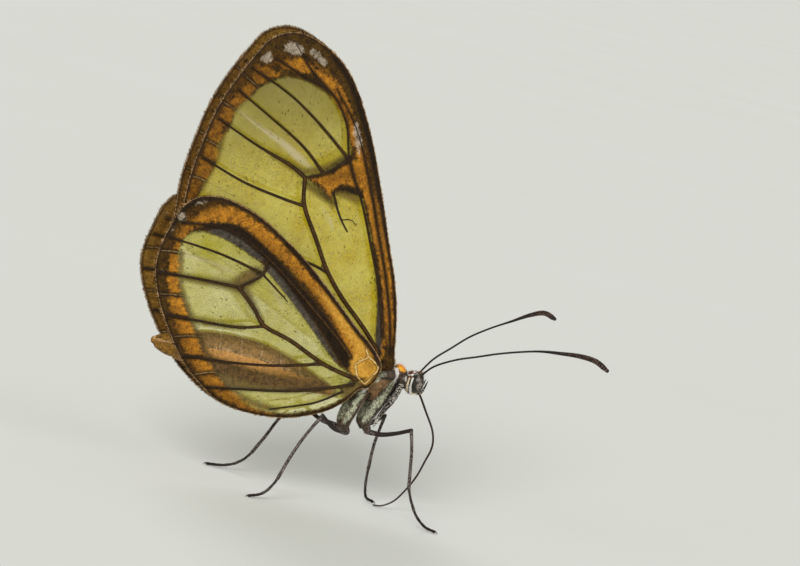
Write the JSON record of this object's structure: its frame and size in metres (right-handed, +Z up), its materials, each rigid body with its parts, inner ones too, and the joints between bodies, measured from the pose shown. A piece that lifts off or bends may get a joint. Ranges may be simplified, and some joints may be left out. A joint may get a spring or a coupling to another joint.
{
  "type": "ithomia butterfly",
  "caption": "Life-size clear-winged butterfly standing with wings closed over its back, proboscis reaching down and feelers forward, for museum display.",
  "frame": {"origin": "on the floor under the middle of the whole animal's box", "axes": "+X the way the butterfly faces, +Y its left, +Z up"},
  "size_m": [0.035, 0.018, 0.0345],
  "materials": {
    "body": "short brown and pale green-grey scales over chitin",
    "collar": "orange scale tufts",
    "abdomen": "tan sides and grey-brown back, scaled",
    "eye": "smooth faceted compound eye",
    "leg": "dark chitin speckled with pale scales",
    "feeler": "ringed dark chitin",
    "forewing": "clear yellow-green membrane, brown and orange scaled border, dark veins",
    "hindwing": "clear green membrane, brown and orange scaled bands, dark veins"
  },
  "bodies": {
    "root": {"head": "body", "collar": "collar", "thorax": "body", "abdomen_front": "abdomen", "abdomen_middle": "abdomen", "abdomen_rear": "abdomen", "abdomen_tip": "abdomen", "eye_right": "eye", "eye_left": "eye", "palp_right": "body", "palp_left": "body", "proboscis_upper": "feeler", "proboscis_middle": "feeler", "proboscis_tip": "feeler", "antenna_right_shaft": "feeler", "antenna_right_club": "feeler", "antenna_left_shaft": "feeler", "antenna_left_club": "feeler", "forewing_right": "forewing", "forewing_left": "forewing", "hindwing_right": "hindwing", "hindwing_left": "hindwing", "foreleg_right_upper": "leg", "foreleg_right_lower": "leg", "foreleg_left_upper": "leg", "foreleg_left_lower": "leg", "midleg_right_coxa": "body", "midleg_right_femur": "leg", "midleg_right_tibia": "leg", "midleg_right_tarsus": "leg", "midleg_left_coxa": "body", "midleg_left_femur": "leg", "midleg_left_tibia": "leg", "midleg_left_tarsus": "leg", "hindleg_right_coxa": "body", "hindleg_right_femur": "leg", "hindleg_right_tibia": "leg", "hindleg_right_tarsus": "leg", "hindleg_left_coxa": "body", "hindleg_left_femur": "leg", "hindleg_left_tibia": "leg", "hindleg_left_tarsus": "leg"}
  },
  "joints": []
}
